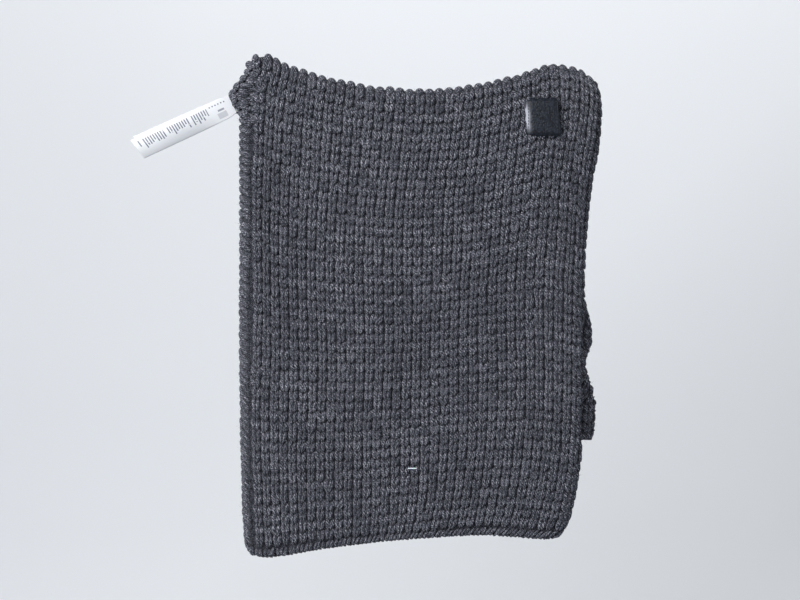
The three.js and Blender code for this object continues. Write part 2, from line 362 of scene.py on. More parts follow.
def wall_grid():
    """Places and outward normals of the wall's middle, looked up by every loop of the knit."""
    s = np.linspace(0, LENGTH_ROUND, 961)
    v = np.linspace(0, TALL, 313)
    middle = wall_middle(*np.meshgrid(s, v, indexing="ij"))
    # The back layer is longer than the front wherever it swells. Its columns share that slack
    # evenly, so that no rib is drawn wide at the fold.
    first, last = np.searchsorted(s, [HALF_BEND + FLAT_RUN, LENGTH_ROUND - HALF_BEND])
    slack = middle[first:last].copy()
    for j in range(len(v)):
        far = np.cumsum(np.linalg.norm(np.diff(slack[:, j], axis=0), axis=-1))
        far = np.concatenate([[0], far])
        even = np.linspace(0, far[-1], len(far))
        for k in range(3):
            middle[first:last, j, k] = np.interp(even, far, slack[:, j, k])
    # A few rows more, straight on past the rim and the hem, hold what stands over the edges.
    extra = 6
    below = [middle[:, 0] - (middle[:, 1] - middle[:, 0]) * k for k in range(extra, 0, -1)]
    above = [middle[:, -1] + (middle[:, -1] - middle[:, -2]) * k for k in range(1, extra + 1)]
    middle = np.concatenate([np.stack(below, 1), middle, np.stack(above, 1)], 1)
    ring = np.concatenate([middle[-3:-1], middle, middle[1:3]], 0)
    round_way = ring[3:-1] - ring[1:-3]
    up_way = np.gradient(middle, axis=1)
    normal = np.cross(round_way, up_way)
    normal /= np.linalg.norm(normal, axis=-1, keepdims=True)
    return s[1], v[1], extra, middle, normal


GRID_S, GRID_V, GRID_EXTRA, MIDDLE, NORMAL = wall_grid()


def on_wall(s, v, out):
    """The place in the hang of a point s round, v up and that far out of the wall's middle."""
    i = np.clip(np.mod(s, LENGTH_ROUND) / GRID_S, 0, MIDDLE.shape[0] - 1.001)
    j = np.clip(v / GRID_V + GRID_EXTRA, 0, MIDDLE.shape[1] - 1.001)
    i0, j0 = i.astype(int), j.astype(int)
    fi, fj = (i - i0)[:, None], (j - j0)[:, None]
    both = []
    for table in (MIDDLE, NORMAL):
        both.append(
            table[i0, j0] * (1 - fi) * (1 - fj)
            + table[i0 + 1, j0] * fi * (1 - fj)
            + table[i0, j0 + 1] * (1 - fi) * fj
            + table[i0 + 1, j0 + 1] * fi * fj
        )
    return both[0] + both[1] * out[:, None]


def over_edges(w, out, radius):
    """Follows the wall's face up and over the rim, or down and under the hem."""
    rim_start, hem_start = TALL - radius, radius
    arc = math.pi * radius
    past = np.clip(w - rim_start, 0, None)
    under = np.clip(hem_start - w, 0, None)
    angle = np.minimum(past, arc) / radius + np.minimum(under, arc) / radius
    v = np.clip(w, hem_start, rim_start)
    v = v - np.clip(past - arc, 0, None) + np.clip(under - arc, 0, None)
    v = v + (radius + out) * np.sin(angle) * np.where(past > 0, 1, -1)
    return v, (radius + out) * np.cos(angle)


def add_wool_group():
    """Melange yarn: charcoal fibre with pale and black flecks along the ply's twist, and painted
    shade in the grooves between loops and in the creases between the plies.
    """
    group = bpy.data.node_groups.new("melange_wool", "ShaderNodeTree")
    for name, way, kind in (
        ("Tone", "INPUT", "Float"),
        ("PaintedGrooveShade", "INPUT", "Float"),
        ("Twist", "INPUT", "Vector"),
        ("Colour", "OUTPUT", "Color"),
        ("Height", "OUTPUT", "Float"),
    ):
        group.interface.new_socket(name, in_out=way, socket_type="NodeSocket" + kind)
    nodes, links = group.nodes, group.links
    given, result = nodes.new("NodeGroupInput"), nodes.new("NodeGroupOutput")
    place = own_place(group)
    maths = maths_in(group)

    def times(first, second):
        made = nodes.new("ShaderNodeMix")
        made.data_type, made.blend_type = "RGBA", "MULTIPLY"
        made.inputs["Factor"].default_value = 1.0
        links.new(first, made.inputs["A"])
        links.new(second, made.inputs["B"])
        return made.outputs["Result"]

    split = nodes.new("ShaderNodeSeparateXYZ")
    links.new(given.outputs["Twist"], split.inputs[0])
    u, v = split.outputs[0], split.outputs[1]
    lay = maths("ADD", maths("MULTIPLY", u, 5.0), maths("MULTIPLY", v, 5.0))
    spin = nodes.new("ShaderNodeCombineXYZ")
    links.new(maths("MULTIPLY", lay, 2.3), spin.inputs[0])
    links.new(maths("MULTIPLY", maths("SUBTRACT", v, u), 6.5), spin.inputs[1])
    links.new(maths("MULTIPLY", given.outputs["Tone"], 91.0), spin.inputs[2])
    fibres = noise(group, spin.outputs[0], 1.0, 2.5, 0.65)
    specks = noise(group, place, 1000, 2, 0.65)
    mixed = maths("ADD", maths("MULTIPLY", fibres, 0.6), maths("MULTIPLY", specks, 0.4))
    flecks = ramp(
        group,
        mixed,
        (0.37, (0.014, 0.016, 0.024)),
        (0.46, (0.066, 0.071, 0.092)),
        (0.53, (0.175, 0.181, 0.215)),
        (0.62, (0.62, 0.63, 0.70)),
    )
    ply = maths("SINE", maths("MULTIPLY", lay, 2 * math.pi))
    drift = noise(group, place, 9, 3, 0.6)
    colour = flecks
    # The drift and the tone vary the colour at random. The crown height paints shade: low points in
    # the grooves between loops are darkened as if shade fell there. The ply's sine paints shade
    # into the creases between the plies.
    for value, low, high in (
        (drift, (0.3, (0.88, 0.88, 0.90)), (0.7, (1.1, 1.1, 1.1))),
        (given.outputs["Tone"], (0, (0.76, 0.76, 0.78)), (1, (1.2, 1.19, 1.18))),
        (given.outputs["PaintedGrooveShade"], (0.05, (0.40, 0.41, 0.44)), (0.6, (1, 1, 1))),
        (ply, (0.0, (0.52, 0.52, 0.55)), (0.55, (1.12, 1.12, 1.12))),
    ):
        colour = times(colour, ramp(group, value, low, high))
    links.new(colour, result.inputs["Colour"])
    height = maths("ADD", maths("MULTIPLY", ply, 0.6), maths("MULTIPLY", mixed, 2.2))
    links.new(height, result.inputs["Height"])
    return group


WOOL_GROUP = add_wool_group()


def add_relief(tree, surface, height, strength, distance):
    """Lifts and sinks a finish by a height that changes over the surface."""
    relief = tree.nodes.new("ShaderNodeBump")
    set_inputs(relief, {"Strength": strength, "Distance": distance})
    tree.links.new(height, relief.inputs["Height"])
    tree.links.new(relief.outputs["Normal"], surface.inputs["Normal"])


def wool_material(name, bump, sheen):
    """A knitted finish: the melange group's colour and fibre height under a soft sheen."""
    tree, surface = new_material(name)
    nodes, links = tree.nodes, tree.links
    wool = nodes.new("ShaderNodeGroup")
    wool.node_tree = WOOL_GROUP
    # The crown attribute feeds the group's painted shade in the grooves.
    for attribute, socket in (("tone", "Tone"), ("crown", "PaintedGrooveShade")):
        read = nodes.new("ShaderNodeAttribute")
        read.attribute_name = attribute
        links.new(read.outputs["Fac"], wool.inputs[socket])
    links.new(nodes.new("ShaderNodeUVMap").outputs["UV"], wool.inputs["Twist"])
    links.new(wool.outputs["Colour"], surface.inputs["Base Color"])
    add_relief(tree, surface, wool.outputs["Height"], bump, 0.0011)
    set_inputs(surface, {"Roughness": 0.95, "Specular IOR Level": 0.12})
    set_inputs(surface, {"Sheen Weight": sheen, "Sheen Roughness": 0.45})
    surface.inputs["Sheen Tint"].default_value = (0.85, 0.9, 1, 1)
    return bpy.data.materials[name]


RIB_WOOL = wool_material("rib_wool", 0.9, 0.12)


def set_value(piece, name, values):
    attribute = piece.data.attributes.get(name) or piece.data.attributes.new(
        name, "FLOAT", "POINT"
    )
    attribute.data.foreach_set("value", np.asarray(values, float).ravel())


def apply_modifiers(piece):
    select_only(piece)
    for modifier in list(piece.modifiers):
        bpy.ops.object.modifier_apply(modifier=modifier.name)


def wind_yarn(piece, around, along):
    """Scales the piece's own map so that the ply's twist comes out at the yarn's real size."""
    layer = piece.data.uv_layers.active.data
    uv = np.empty(len(layer) * 2)
    layer.foreach_get("uv", uv)
    layer.foreach_set("uv", (uv.reshape(-1, 2) * (around, along)).ravel())


def edit_whole(piece, operator, **settings):
    """Works on all of a piece in edit mode with one operator."""
    select_only(piece)
    bpy.ops.object.mode_set(mode="EDIT")
    bpy.ops.mesh.select_all(action="SELECT")
    operator(**settings)
    bpy.ops.object.mode_set(mode="OBJECT")


def thicken(piece, thickness):
    """Gives a shaped sheet its thickness, half to each side."""
    select_only(piece)
    bpy.ops.object.modifier_add(type="SOLIDIFY")
    piece.modifiers[-1].thickness = thickness
    piece.modifiers[-1].offset = 0
    apply_modifiers(piece)
    bpy.ops.object.shade_smooth()


def knit_ground():
    ground = add_grid("knit_ground", 300, 150)
    co = positions(ground)
    s = (co[:, 0] + 0.5) * LENGTH_ROUND
    v = 0.004 + (co[:, 1] + 0.5) * (TALL - 0.006)
    set_positions(ground, on_wall(np.minimum(s, LENGTH_ROUND - 1e-9), v, 0 * s))
    set_value(ground, "tone", 0.3 + 0 * s)
    # Painted shade: the ground's low crown darkens it like the shade deep in the grooves.
    set_value(ground, "crown", 0.24 + 0 * s)
    wind_yarn(ground, 72, 46)
    edit_whole(ground, bpy.ops.mesh.remove_doubles, threshold=0.0003)
    thicken(ground, 0.0022)
    ground.data.materials.append(RIB_WOOL)
    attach(ground, "gaiter")
    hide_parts("knit_tube")
    return ground


knit = knit_ground()


# ---- Ribbed face ----
# Every loop of the chunky rib is a plump V of yarn: two arms that close at a rounded foot,
# nested in the loop below. One loop is modelled, set out in rows and columns, and hung.
SEAM_STRIP = 0.0195  # the linked edge strip on each side of the seam
COLUMNS = 72
PITCH = (LENGTH_ROUND - 2 * SEAM_STRIP) / COLUMNS
ROWS = 46
FIRST_ROW = 0.0106
ROW_PITCH = (TALL - 0.0052 - FIRST_ROW) / ROWS
FACE = 0.0017  # the middle of the yarn to the middle of the wall
APART = 0.02  # between the rows of a piece that is set out only to be placed one by one


def add_ball(place, turn, scale, segments, rings):
    bpy.ops.mesh.primitive_uv_sphere_add(
        segments=segments, ring_count=rings, radius=1, location=place, rotation=turn, scale=scale
    )
    return bpy.context.object


def joined(name, parts):
    select_only(*parts)
    if len(parts) > 1:
        bpy.ops.object.join()
    one = bpy.context.object
    one.name = name
    bpy.ops.object.transform_apply(location=True, rotation=True, scale=True)
    bpy.ops.object.shade_smooth()
    return one


def add_bead(name, lean, scale, segments, rings):
    """One plump strand of yarn or thread, leaning over to the side."""
    return joined(name, [add_ball((0, 0, 0), (0, lean, 0), scale, segments, rings)])


def add_loop(name):
    """One V loop, seen from the front: x across, y into the wall, z up."""
    lean = tip = math.radians(6)
    half = ROW_PITCH * 0.635
    arm = (0.00258, 0.0020, half)
    arms = [
        add_ball((side * 0.00216, 0, 0), (-tip, side * lean, 0), arm, 8, 6) for side in (-1, 1)
    ]
    loop = joined(name, arms)
    co = positions(loop)
    foot = smoothstep(-co[:, 2], 0.1 * half, 1.05 * half)
    co[:, 0] *= 1 - 0.34 * foot
    co[:, 1] -= 0.0005 * foot
    set_positions(loop, co)
    return loop


def set_out(piece, columns, rows, across, up):
    """Repeats a piece in columns and rows. Gives each point's column, row and own place."""
    count = len(piece.data.vertices)
    select_only(piece)
    for number, step in ((columns, (across, 0, 0)), (rows, (0, 0, up))):
        bpy.ops.object.modifier_add(type="ARRAY")
        array = piece.modifiers[-1]
        array.count = number
        array.use_relative_offset = False
        array.use_constant_offset = True
        array.constant_offset_displace = step
    apply_modifiers(piece)
    which = np.arange(len(piece.data.vertices)) // count
    col, row = which % columns, which // columns
    return col, row, positions(piece) - np.stack([col * across, 0 * col, row * up], 1)


def set_painted_groove_shade(piece, local, least=0, sunk=0.0017, deep=0.0034):
    """Marks how far each point stands up from the groove; the wool finish paints shade on the low
    points, so the groove stays dark.
    """
    set_value(piece, "crown", np.clip((-local[:, 1] + sunk) / deep, least, 1))


def lay_loops(name, columns, rows, start, base, seed):
    """Hangs loops in rows on the wall, each one a little different from its neighbours."""
    piece = add_loop(name)
    col, row, local = set_out(piece, columns, rows, PITCH, ROW_PITCH)
    rng = np.random.default_rng(seed)
    number, total = row * columns + col, columns * rows
    jitter = rng.normal(0, 1, (total, 6))[number]
    size = 1 + 0.07 * jitter[:, 3]
    roll = 0.09 * jitter[:, 4]
    x = local[:, 0] * size + local[:, 2] * roll
    z = local[:, 2] * (1 + 0.04 * jitter[:, 5]) - local[:, 0] * roll
    s = start + (col + 0.5) * PITCH
    w = base + (row + 0.5) * ROW_PITCH
    s = s + x + 0.0003 * jitter[:, 0]
    s = s + 0.0010 * np.sin(w * 31 + 2 * np.sin(s * 17))
    w = w + z + 0.0004 * jitter[:, 1]
    w = w + 0.0011 * np.sin(s * 27 + 1.3 * np.sin(w * 13)) * smoothstep(TALL - w, 0, 0.03)
    v, n = over_edges(w, -local[:, 1] + 0.00022 * jitter[:, 2], FACE)
    set_positions(piece, on_wall(s, v, n))
    set_value(piece, "tone", np.clip(0.5 + 0.22 * rng.normal(0, 1, total)[number], 0, 1))
    set_painted_groove_shade(piece, local)
    piece.data.materials.append(RIB_WOOL)
    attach(piece, "gaiter")
    return piece


def rib_ends():
    """At the rim each rib closes in one rounded end, as the cast-off edge draws it in."""
    ends = add_bead("rib_ends", 0, (0.0043, 0.0034, 0.0042), 12, 8)
    wind_yarn(ends, 2, 0.8)
    col, _, local = set_out(ends, COLUMNS, 1, PITCH, ROW_PITCH)
    rng = np.random.default_rng(5)
    lift = rng.normal(0, 0.0005, COLUMNS)[col]
    s = SEAM_STRIP + (col + 0.5) * PITCH + local[:, 0]
    set_positions(ends, on_wall(s, TALL - 0.0028 + lift + local[:, 2], -local[:, 1]))
    set_value(ends, "tone", rng.uniform(0.3, 0.7, COLUMNS)[col])
    set_value(ends, "crown", 0.75 + 0 * col)
    ends.data.materials.append(RIB_WOOL)
    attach(ends, "gaiter")
    return ends


# The face is laid in four parts, front and back, low and high.
on_ground = []
half_round, half_up = COLUMNS // 2, ROWS // 2
for part, name in enumerate(("front_low", "front_high", "back_low", "back_high")):
    start = SEAM_STRIP + (part // 2) * half_round * PITCH
    base = FIRST_ROW + (part % 2) * half_up * ROW_PITCH
    on_ground.append(
        lay_loops("rib_loops_" + name, half_round, half_up, start, base, 11 + part)
    )
on_ground.append(rib_ends())
# The same loops run on down the inside, where the open rim shows them.
on_ground.append(lay_loops("rib_loops_inside", COLUMNS, 9, SEAM_STRIP, TALL + 0.0042, 29))


# ---- Seam strip ----
# Up the side the panel's two edges are linked. Their edge loops lie slanted in a narrow strip
# on each side of the seam, and at the top the ribs fan out round the corner to the label.
STRAND_PITCH = 0.0073
STRIP_TOP = TALL - 0.048


def seam_strip(name, mirror, seed):
    """Two columns of slanted strands up one side of the seam."""
    from_seam, between, lowest = 0.0052, 0.0070, 0.013
    strand = add_bead(name, math.radians(38) - math.pi / 2, (0.0025, 0.0021, 0.0062), 8, 6)
    wind_yarn(strand, 1.2, 1.1)
    count = int((STRIP_TOP - 0.008) / STRAND_PITCH)
    col, row, local = set_out(strand, 2, count, APART, STRAND_PITCH)
    rng = np.random.default_rng(seed)
    which = row * 2 + col
    jitter = rng.normal(0, 1, (2 * count, 3))[which]
    s = from_seam + between * col + local[:, 0] + 0.0004 * jitter[:, 0]
    w = lowest + (row + 0.45 * col) * STRAND_PITCH + local[:, 2] + 0.0006 * jitter[:, 1]
    out = FACE - local[:, 1] + 0.0003 * jitter[:, 2]
    set_positions(strand, on_wall(LENGTH_ROUND - s if mirror else s, w, out))
    if mirror:
        edit_whole(strand, bpy.ops.mesh.flip_normals)
    set_value(strand, "tone", rng.uniform(0.45, 1.0, 2 * count)[which])
    set_painted_groove_shade(strand, local)
    strand.data.materials.append(RIB_WOOL)
    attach(strand, "gaiter")
    return strand


def corner_fan(name, mirror, seed):
    """Short ribs that leave the corner sideways, one after another down to the label."""
    # Each rib's end: how far below the rim, its lean in degrees, and how far in from the seam.
    ends = [(0.0410, 42, 0), (0.0335, 50, 0), (0.0262, 55, 0), (0.0190, 60, 0)]
    ends += [(0.0120, 56, 0.0005), (0.0050, 40, 0.0035), (0.0018, 14, 0.0120)]
    below, lean, inward = np.array(ends).T
    lean = np.radians(lean)
    fan = add_loop(name + "_loops")
    tip = add_bead(name + "_tips", 0, (0.0041, 0.0040, 0.0050), 12, 8)
    for piece, rows, end, face in (
        (fan, 3, 2.62 * ROW_PITCH, FACE),
        (tip, 1, 0.0012, 0.0024),
    ):
        which, row, local = set_out(piece, len(ends), rows, APART, ROW_PITCH)
        rng = np.random.default_rng(seed + rows)
        along = positions(piece)[:, 2] - end
        across = local[:, 0] * (0.80 + 0.03 * row)
        s = 0.0002 + inward[which] - np.sin(lean[which]) * along + np.cos(lean[which]) * across
        w = TALL - below[which] + np.cos(lean[which]) * along + np.sin(lean[which]) * across
        out = face + 0.0006 * (row - 1 + (which % 2)) - local[:, 1]
        if piece is fan:
            w, out = over_edges(w, out - FACE, FACE)
        set_positions(piece, on_wall(-s if mirror else s, w, out))
        if mirror:
            edit_whole(piece, bpy.ops.mesh.flip_normals)
        set_value(piece, "tone", rng.uniform(0.3, 0.8, len(ends) * rows)[which * rows + row])
        set_painted_groove_shade(piece, local, 0.3)
        piece.data.materials.append(RIB_WOOL)
        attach(piece, "gaiter")
    return [fan, tip]


on_ground.append(seam_strip("seam_strip_front", False, 41))
on_ground.append(seam_strip("seam_strip_back", True, 43))
on_ground += corner_fan("corner_fan_front", False, 47)
on_ground += corner_fan("corner_fan_back", True, 53)


# ---- Hem band ----
# A narrow firm edge is knitted on round the bottom: slanted strands that wrap from the front
# of the wall, under the edge, to the inside.
BAND_WOOL = wool_material("band_wool", 0.8, 0.1)


def hem_band():
    count, rows, step = 156, 3, 0.0074
    pitch = LENGTH_ROUND / count
    strand = add_bead("hem_strands", math.radians(24), (0.0022, 0.0018, 0.0053), 8, 6)
    wind_yarn(strand, 1.1, 1.0)
    col, row, local = set_out(strand, count, rows, pitch, step)
    rng = np.random.default_rng(61)
    which = row * count + col
    jitter = rng.normal(0, 1, (count * rows, 4))[which]
    w = 0.0044 - step * (rows - 1 - row) + local[:, 2] + 0.0004 * jitter[:, 1]
    s = (col + 0.5 + 0.4 * row) * pitch + local[:, 0]
    s = s + 0.12 * jitter[:, 3] * local[:, 2] + 0.0004 * jitter[:, 0]
    v, n = over_edges(w, -local[:, 1] + 0.0002 * jitter[:, 2], 0.0022)
    set_positions(strand, on_wall(s, v, n))
    set_value(strand, "tone", rng.uniform(0.15, 0.75, count * rows)[which])
    set_painted_groove_shade(strand, local, 0, 0.0014, 0.0030)
    strand.data.materials.append(BAND_WOOL)
    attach(strand, "gaiter")
    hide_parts("hem_band")
    return strand


on_ground.append(hem_band())


# ---- Seam chain ----
# Inside the seam a doubled chain of plain yarn links the panel's edges from hem to rim. Each
# link is two short strands side by side, and the chain lies in the gap between the edges.
CHAIN_YARN = wool_material("chain_yarn", 0.6, 0.08)


def seam_chain():
    link_pitch = 0.0052
    count = int((TALL - 0.014) / link_pitch)
    half, lean = (0.0007, 0.0007, 0.0034), math.radians(12)
    halves = [add_ball((side * 0.0007, 0, 0), (0, side * lean, 0), half, 6, 6) for side in (-1, 1)]
    chain = joined("seam_chain", halves)
    set_out(chain, 1, count, 0, link_pitch)
    co = positions(chain)
    set_positions(chain, on_wall(co[:, 0] + 0.00001, 0.011 + co[:, 2], -0.0047 - co[:, 1]))
    set_value(chain, "tone", 0.4 + 0 * co[:, 0])
    set_value(chain, "crown", 0.7 + 0 * co[:, 0])
    chain.data.materials.append(CHAIN_YARN)
    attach(chain, "gaiter")
    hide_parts("side_seam_chain")
    return chain


on_ground.append(seam_chain())


# ---- Leather patch ----
# A square of black grained leather, sewn on below one clip. It has bedded into the ribs, so its
# face crowns. Its seam-side edge rolls under, and a painted highlight lies pale along the roll.
PATCH_LOW, PATCH_HIGH = (list(c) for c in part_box("leather_patch"))
PATCH_WIDE, PATCH_TALL = PATCH_HIGH[0] - PATCH_LOW[0], PATCH_HIGH[2] - PATCH_LOW[2]
PATCH_FACE = PATCH_LOW[1] - 0.0016  # the front of the leather at its middle


def leather_material():
    """Black leather, a little bluish in its creases, with a painted highlight where its edge rolls
    under.
    """
    tree, surface = new_material("black_leather")
    nodes, links = tree.nodes, tree.links
    place = own_place(tree)
    cells = nodes.new("ShaderNodeTexVoronoi")
    cells.inputs["Scale"].default_value = 620
    cells.feature = "SMOOTH_F1"
    links.new(place, cells.inputs["Vector"])
    creases = noise(tree, place, 420, 5)
    grain = maths_in(tree)("ADD", cells.outputs["Distance"], creases)
    add_relief(tree, surface, grain, 0.7, 0.0011)
    tint = ramp(tree, creases, (0.35, (0.002, 0.004, 0.008)), (0.65, (0.016, 0.022, 0.036)))
    painted_highlight_read = nodes.new("ShaderNodeAttribute")
    painted_highlight_read.attribute_name = "painted_highlight"
    # Painted highlight: the pale colour mixed in along the rolled edge stands for light caught
    # there.
    mix = nodes.new("ShaderNodeMix")
    mix.data_type = "RGBA"
    mix.inputs["B"].default_value = (0.48, 0.50, 0.58, 1)
    links.new(painted_highlight_read.outputs["Fac"], mix.inputs["Factor"])
    links.new(tint, mix.inputs["A"])
    links.new(mix.outputs["Result"], surface.inputs["Base Color"])
    shine = nodes.new("ShaderNodeMapRange")
    set_inputs(shine, {"To Min": 0.36, "To Max": 0.62})
    links.new(creases, shine.inputs["Value"])
    links.new(shine.outputs["Result"], surface.inputs["Roughness"])
    surface.inputs["Specular IOR Level"].default_value = 0.36
    return bpy.data.materials["black_leather"]


def patch_depth(x, z):
    """How far the face lies behind its flat front: it crowns a little and rolls under at -x."""
    across = (x - PATCH_LOW[0]) / PATCH_WIDE
    up = (z - PATCH_LOW[2]) / PATCH_TALL
    crown = 0.0009 * ((2 * across - 1) ** 2 + (2 * up - 1) ** 2)
    roll = 0.0046 * np.clip((0.27 - 0.07 * up - across) / 0.22, 0, 1.1) ** 2
    ends = 0.0034 * smoothstep(up, 0.86, 1.0) + 0.0060 * smoothstep(-up, -0.15, 0.0)
    return crown + roll + ends


def leather_patch():
    middle = [(PATCH_LOW[k] + PATCH_HIGH[k]) / 2 for k in range(3)]
    patch = add_grid("leather_patch_sewn", 60, 66)
    co = positions(patch)
    x, z = co[:, 0] * 2, co[:, 1] * 2
    # The sheet's square corners are drawn in to round ones.
    corner = 0.24
    straight = 1 - corner
    past_x = np.clip(np.abs(x) - straight, 0, None)
    past_z = np.clip(np.abs(z) - straight, 0, None)
    over = np.hypot(past_x, past_z)
    pull = np.where(over > corner, corner / np.maximum(over, 1e-9), 1)
    x = np.where(over > corner, np.sign(x) * (straight + (np.abs(x) - straight) * pull), x)
    z = np.where(over > corner, np.sign(z) * (straight + (np.abs(z) - straight) * pull), z)
    # It sits a little askew, with wavy edges.
    x_place = middle[0] - 0.0006 + x * (PATCH_WIDE / 2 - 0.0006) - 0.0020 * z
    x_place = x_place + 0.0004 * np.sin(z * 9) * np.abs(x)
    z_place = middle[2] + z * (PATCH_TALL / 2 - 0.0003) + 0.0005 * np.sin(x * 11) * np.abs(z)
    rounded = smoothstep(np.maximum(np.abs(x), np.abs(z)), 0.93, 1.0)
    y = PATCH_FACE + patch_depth(x_place, z_place) + 0.0009 * rounded
    set_positions(patch, np.stack([x_place, y, z_place], 1))
    # Painted highlight: pale along the rolled edge, strongest at mid height.
    along_roll = np.exp(-(((x + 0.84 - 0.03 * z) / 0.125) ** 2))
    set_value(patch, "painted_highlight", along_roll * np.exp(-(((z - 0.05) / 0.62) ** 4)))
    edit_whole(patch, bpy.ops.mesh.normals_make_consistent, inside=False)
    thicken(patch, 0.0014)
    patch.data.materials.append(leather_material())
    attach(patch, "gaiter")
    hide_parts("leather_patch")


leather_patch()


# ---- Patch stitching ----
# One line of dark thread runs round the patch, close to its edge. It is sewn through the leather
# into the knit, so each stitch is a short plump bead that sits in the face.
def wave(tree, place, direction, scale, distortion):
    made = tree.nodes.new("ShaderNodeTexWave")
    made.bands_direction = direction
    set_inputs(made, {"Scale": scale, "Distortion": distortion})
    tree.links.new(place, made.inputs["Vector"])
    return made.outputs["Fac"]


def thread_material():
    tree, surface = new_material("dark_thread")
    ply = wave(tree, own_place(tree), "DIAGONAL", 900, 1.5)
    tint = ramp(tree, ply, (0, (0.012, 0.013, 0.017)), (1, (0.045, 0.048, 0.06)))
    tree.links.new(tint, surface.inputs["Base Color"])
    add_relief(tree, surface, ply, 0.5, 0.0001)
    surface.inputs["Roughness"].default_value = 0.6
    return bpy.data.materials["dark_thread"]


DARK_THREAD = thread_material()


def patch_stitches():
    inset, stitch_pitch, apart = 0.0034, 0.0031, 0.003
    left, right = PATCH_LOW[0] + inset, PATCH_HIGH[0] - inset
    low, high = PATCH_LOW[2] + inset, PATCH_HIGH[2] - inset
    corners = [(left, low), (right, low), (right, high), (left, high)]
    stitch = add_bead("patch_thread", math.pi / 2, (0.00034, 0.00034, 0.0013), 6, 6)
    places = []
    for (ax, az), (bx, bz) in zip(corners, corners[1:] + corners[:1]):
        run = math.hypot(bx - ax, bz - az)
        number = round(run / stitch_pitch)
        way = ((bx - ax) / run, (bz - az) / run)
        for k in range(number):
            share = (k + 0.5) / number
            places.append((ax + (bx - ax) * share, az + (bz - az) * share, *way))
    which, _, local = set_out(stitch, len(places), 1, apart, 0)
    spot = np.array(places)[which]
    x = spot[:, 0] + local[:, 0] * spot[:, 2] - local[:, 2] * spot[:, 3]
    z = spot[:, 1] + local[:, 0] * spot[:, 3] + local[:, 2] * spot[:, 2]
    y = PATCH_FACE - 0.0008 + patch_depth(x, z) + local[:, 1]
    set_positions(stitch, np.stack([x, y, z], 1))
    stitch.data.materials.append(DARK_THREAD)
    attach(stitch, "gaiter")
    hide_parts("patch_stitching")


patch_stitches()


# ---- Label bar tack ----
# A bar of close zigzag stitches in dark thread holds both ends of the label in the seam. It runs
# across the tape, just inside the lobe at the seam's top end.
LABEL_TILT = math.radians(25.6)
LABEL_ROOT = np.array([-0.1845, -0.0298])
LABEL_ALONG = np.array([-math.cos(LABEL_TILT), -math.sin(LABEL_TILT)])
LABEL_ACROSS = np.array([-math.sin(LABEL_TILT), math.cos(LABEL_TILT)])


def bar_tack():
    turns, bar = 26, 0.020
    turn = add_bead("label_bartack_thread", 0, (0.0009, 0.0011, 0.0005), 8, 6)
    set_out(turn, 1, turns, 0, bar / turns)
    co = positions(turn)
    across = co[:, 2] - bar / 2 + co[:, 0] * 0.35
    out = 0.0021 - co[:, 0]
    place = LABEL_ROOT + across[:, None] * LABEL_ACROSS + out[:, None] * LABEL_ALONG
    set_positions(turn, np.stack([place[:, 0], co[:, 1], place[:, 1]], 1))
    turn.data.materials.append(DARK_THREAD)
    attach(turn, "gaiter")
    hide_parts("label_bartack")


bar_tack()


# ---- Care label ----
# One length of white satin tape, folded and sewn into the seam's top end by its two ends. It
# curls across its width and carries plain printed bars in place of any wording.
LABEL_WIDE = 0.0226
LEAF_START = -0.0008


def satin_material():
    """White satin printed with grey bars, dots and blocks, laid out in millimetres."""
    tree, surface = new_material("white_satin")
    nodes, links = tree.nodes, tree.links
    maths = maths_in(tree)

    def between(value, low, high):
        return maths("MULTIPLY", maths("GREATER_THAN", value, low), maths("LESS_THAN", value, high))

    def all_of(first, *others):
        for other in others:
            first = maths("MULTIPLY", first, other)
        return first

    def repeats(value, pitch, filled):
        return maths("LESS_THAN", maths("FRACT", maths("DIVIDE", value, pitch)), filled)

    uv = nodes.new("ShaderNodeUVMap").outputs["UV"]
    split = nodes.new("ShaderNodeSeparateXYZ")
    links.new(uv, split.inputs[0])
    along, across = split.outputs[0], split.outputs[1]  # from the root, and from the lower edge
    # Bars of uneven length hang from one line, in groups.
    bar_pitch, bar_top = 2.7, 18.5
    uneven = nodes.new("ShaderNodeTexWhiteNoise")
    uneven.noise_dimensions = "1D"
    links.new(maths("FLOOR", maths("DIVIDE", along, bar_pitch)), uneven.inputs["W"])
    longest = maths("ADD", maths("MULTIPLY", uneven.outputs["Value"], 6.0), 5.5)
    bars = all_of(
        repeats(along, bar_pitch, 0.46),
        between(maths("SUBTRACT", bar_top, across), 0.0, longest),
        repeats(maths("ADD", along, 3.0), 27.0, 0.9),
        between(along, 30.0, 107.0),
        maths("GREATER_THAN", noise(tree, uv, 0.22, 1), 0.30),
    )
    dots = all_of(
        repeats(along, 3.2, 0.4), between(across, 17.4, 18.9), between(along, 9.0, 28.0)
    )
    ink = maths("MULTIPLY", maths("ADD", bars, dots), 0.95)
    block = all_of(between(along, 12, 22), between(across, 3, 9), 0.34)
    strip = all_of(between(along, 13, 20), between(across, 10.5, 12.5), 0.75)
    ink = maths("ADD", ink, maths("ADD", block, strip))
    mix = nodes.new("ShaderNodeMix")
    mix.data_type = "RGBA"
    mix.inputs["A"].default_value = (0.74, 0.76, 0.80, 1)
    mix.inputs["B"].default_value = (0.10, 0.11, 0.17, 1)
    links.new(ink, mix.inputs["Factor"])
    links.new(mix.outputs["Result"], surface.inputs["Base Color"])
    add_relief(tree, surface, wave(tree, uv, "Y", 1.6, 0.6), 0.12, 0.0002)
    set_inputs(surface, {"Roughness": 0.42, "Sheen Weight": 0.15, "Anisotropic": 0.4})
    set_inputs(surface, {"Subsurface Weight": 0.05, "Subsurface Scale": 0.001})
    return bpy.data.materials["white_satin"]


WHITE_SATIN = satin_material()


